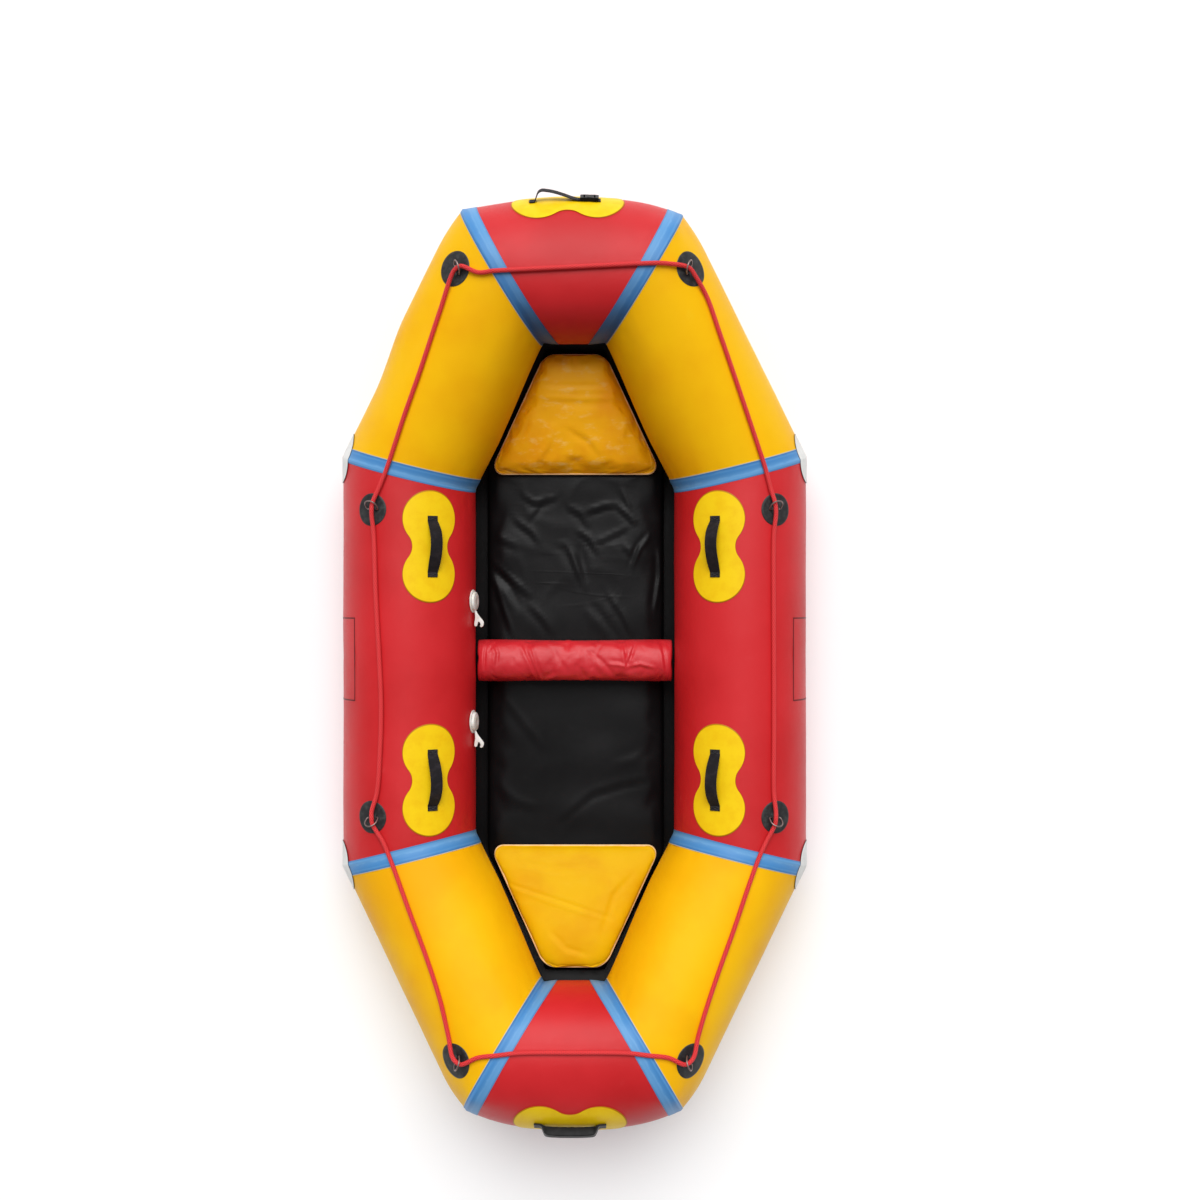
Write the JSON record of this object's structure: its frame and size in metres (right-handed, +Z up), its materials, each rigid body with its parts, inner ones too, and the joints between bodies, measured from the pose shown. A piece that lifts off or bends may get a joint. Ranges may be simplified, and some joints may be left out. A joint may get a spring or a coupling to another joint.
{
  "type": "inflatable raft",
  "caption": "Eight-sided inflatable river raft with raised ends, a mattress floor, a thwart, seat pads, a roped grab line and webbing handles.",
  "frame": {"origin": "centre of the raft's footprint, on the ground under the floor sheet", "axes": "+Y to the bow, +X to starboard, +Z up"},
  "size_m": [1.1754, 2.2945, 0.4632],
  "materials": {
    "red_fabric": "smooth coated fabric, soft sheen",
    "yellow_fabric": "smooth coated fabric, soft sheen",
    "blue_tape": "smooth coated fabric tape with lengthwise stripes",
    "thwart_fabric": "coated fabric, creased, glossy",
    "seat_fabric": "coated fabric, creased, with piping",
    "floor_fabric": "coated fabric, creased",
    "patch_rubber": "matt",
    "webbing": "ribbed woven webbing",
    "black_plastic": "moulded, fine grain",
    "rope": "braided cord",
    "ring_steel": "polished stainless steel",
    "valve_plastic": "moulded, smooth"
  },
  "bodies": {
    "hull": {"bow_buckle": "black_plastic", "bow_handle_patch": "yellow_fabric", "bow_left_corner_rope_patch": "patch_rubber", "bow_left_diagonal_tube": "yellow_fabric", "bow_left_end_tape": "blue_tape", "bow_left_handle_patch": "yellow_fabric", "bow_left_side_rope_patch": "patch_rubber", "bow_left_side_tape": "blue_tape", "bow_left_strap_handle": "webbing", "bow_right_corner_rope_patch": "patch_rubber", "bow_right_diagonal_tube": "yellow_fabric", "bow_right_end_tape": "blue_tape", "bow_right_handle_patch": "yellow_fabric", "bow_right_side_rope_patch": "patch_rubber", "bow_right_side_tape": "blue_tape", "bow_right_strap_handle": "webbing", "bow_strap": "webbing", "bow_tube": "red_fabric", "bow_valve_body": "valve_plastic", "floor_mattress": "floor_fabric", "floor_sheet": "floor_fabric", "grab_line": "rope", "left_bulkhead": "red_fabric", "left_side_tube": "red_fabric", "right_bulkhead": "red_fabric", "right_side_tube": "red_fabric", "stern_grip": "black_plastic", "stern_handle_patch": "yellow_fabric", "stern_left_corner_rope_patch": "patch_rubber", "stern_left_diagonal_tube": "yellow_fabric", "stern_left_end_tape": "blue_tape", "stern_left_handle_patch": "yellow_fabric", "stern_left_side_rope_patch": "patch_rubber", "stern_left_side_tape": "blue_tape", "stern_left_strap_handle": "webbing", "stern_right_corner_rope_patch": "patch_rubber", "stern_right_diagonal_tube": "yellow_fabric", "stern_right_end_tape": "blue_tape", "stern_right_handle_patch": "yellow_fabric", "stern_right_side_rope_patch": "patch_rubber", "stern_right_side_tape": "blue_tape", "stern_right_strap_handle": "webbing", "stern_tube": "red_fabric", "stern_valve_body": "valve_plastic", "thwart": "thwart_fabric"},
    "bow_left_side_ring": {"bow_left_side_ring": "ring_steel"},
    "bow_left_corner_ring": {"bow_left_corner_ring": "ring_steel"},
    "bow_right_side_ring": {"bow_right_side_ring": "ring_steel"},
    "bow_right_corner_ring": {"bow_right_corner_ring": "ring_steel"},
    "stern_left_side_ring": {"stern_left_side_ring": "ring_steel"},
    "stern_left_corner_ring": {"stern_left_corner_ring": "ring_steel"},
    "stern_right_side_ring": {"stern_right_side_ring": "ring_steel"},
    "stern_right_corner_ring": {"stern_right_corner_ring": "ring_steel"},
    "bow_seat_pad": {"bow_seat_pad": "seat_fabric"},
    "stern_seat_pad": {"stern_seat_pad": "seat_fabric"},
    "bow_valve_cap": {"bow_valve_cap": "valve_plastic"},
    "bow_valve_poppet": {"bow_valve_poppet": "valve_plastic"},
    "stern_valve_cap": {"stern_valve_cap": "valve_plastic"},
    "stern_valve_poppet": {"stern_valve_poppet": "valve_plastic"}
  },
  "joints": [
    {"name": "bow_left_side_ring_hinge", "type": "hinge", "parent": "hull", "child": "bow_left_side_ring", "pos_m": [-0.49155, 0.3765, 0.32482], "axis": [0.9082, -0.0698, 0.4128], "range_deg": [0, 84]},
    {"name": "bow_left_corner_ring_hinge", "type": "hinge", "parent": "hull", "child": "bow_left_corner_ring", "pos_m": [-0.27729, 0.94101, 0.41918], "axis": [0.4018, -0.8357, 0.3743], "range_deg": [0, 60]},
    {"name": "bow_right_side_ring_hinge", "type": "hinge", "parent": "hull", "child": "bow_right_side_ring", "pos_m": [0.49155, 0.3765, 0.32482], "axis": [0.9082, 0.0698, -0.4128], "range_deg": [0, 84]},
    {"name": "bow_right_corner_ring_hinge", "type": "hinge", "parent": "hull", "child": "bow_right_corner_ring", "pos_m": [0.27729, 0.94101, 0.41918], "axis": [0.4018, 0.8357, -0.3743], "range_deg": [0, 60]},
    {"name": "stern_left_side_ring_hinge", "type": "hinge", "parent": "hull", "child": "stern_left_side_ring", "pos_m": [-0.49155, -0.3765, 0.32482], "axis": [-0.9082, -0.0698, -0.4128], "range_deg": [0, 84]},
    {"name": "stern_left_corner_ring_hinge", "type": "hinge", "parent": "hull", "child": "stern_left_corner_ring", "pos_m": [-0.27729, -0.94101, 0.41918], "axis": [-0.4018, -0.8357, -0.3743], "range_deg": [0, 60]},
    {"name": "stern_right_side_ring_hinge", "type": "hinge", "parent": "hull", "child": "stern_right_side_ring", "pos_m": [0.49155, -0.3765, 0.32482], "axis": [-0.9082, 0.0698, 0.4128], "range_deg": [0, 84]},
    {"name": "stern_right_corner_ring_hinge", "type": "hinge", "parent": "hull", "child": "stern_right_corner_ring", "pos_m": [0.27729, -0.94101, 0.41918], "axis": [-0.4018, 0.8357, 0.3743], "range_deg": [0, 60]},
    {"name": "bow_seat_pad_lift", "type": "slide", "parent": "hull", "child": "bow_seat_pad", "axis": [0, -0.5, 0.866], "range_m": [0, 0.25]},
    {"name": "stern_seat_pad_lift", "type": "slide", "parent": "hull", "child": "stern_seat_pad", "axis": [0, 0.5, 0.866], "range_m": [0, 0.25]},
    {"name": "bow_valve_cap_turn", "type": "hinge", "parent": "hull", "child": "bow_valve_cap", "pos_m": [-0.25715, 0.152, 0.20322], "axis": [-0.9781, 0, -0.2079], "range_deg": [0, 90]},
    {"name": "bow_valve_poppet_press", "type": "slide", "parent": "hull", "child": "bow_valve_poppet", "axis": [-0.9781, 0, -0.2079], "range_m": [0, 0.004], "stiffness_N_per_m": 120},
    {"name": "stern_valve_cap_turn", "type": "hinge", "parent": "hull", "child": "stern_valve_cap", "pos_m": [-0.25715, -0.152, 0.20322], "axis": [-0.9781, 0, -0.2079], "range_deg": [0, 90]},
    {"name": "stern_valve_poppet_press", "type": "slide", "parent": "hull", "child": "stern_valve_poppet", "axis": [-0.9781, 0, -0.2079], "range_m": [0, 0.004], "stiffness_N_per_m": 120}
  ]
}
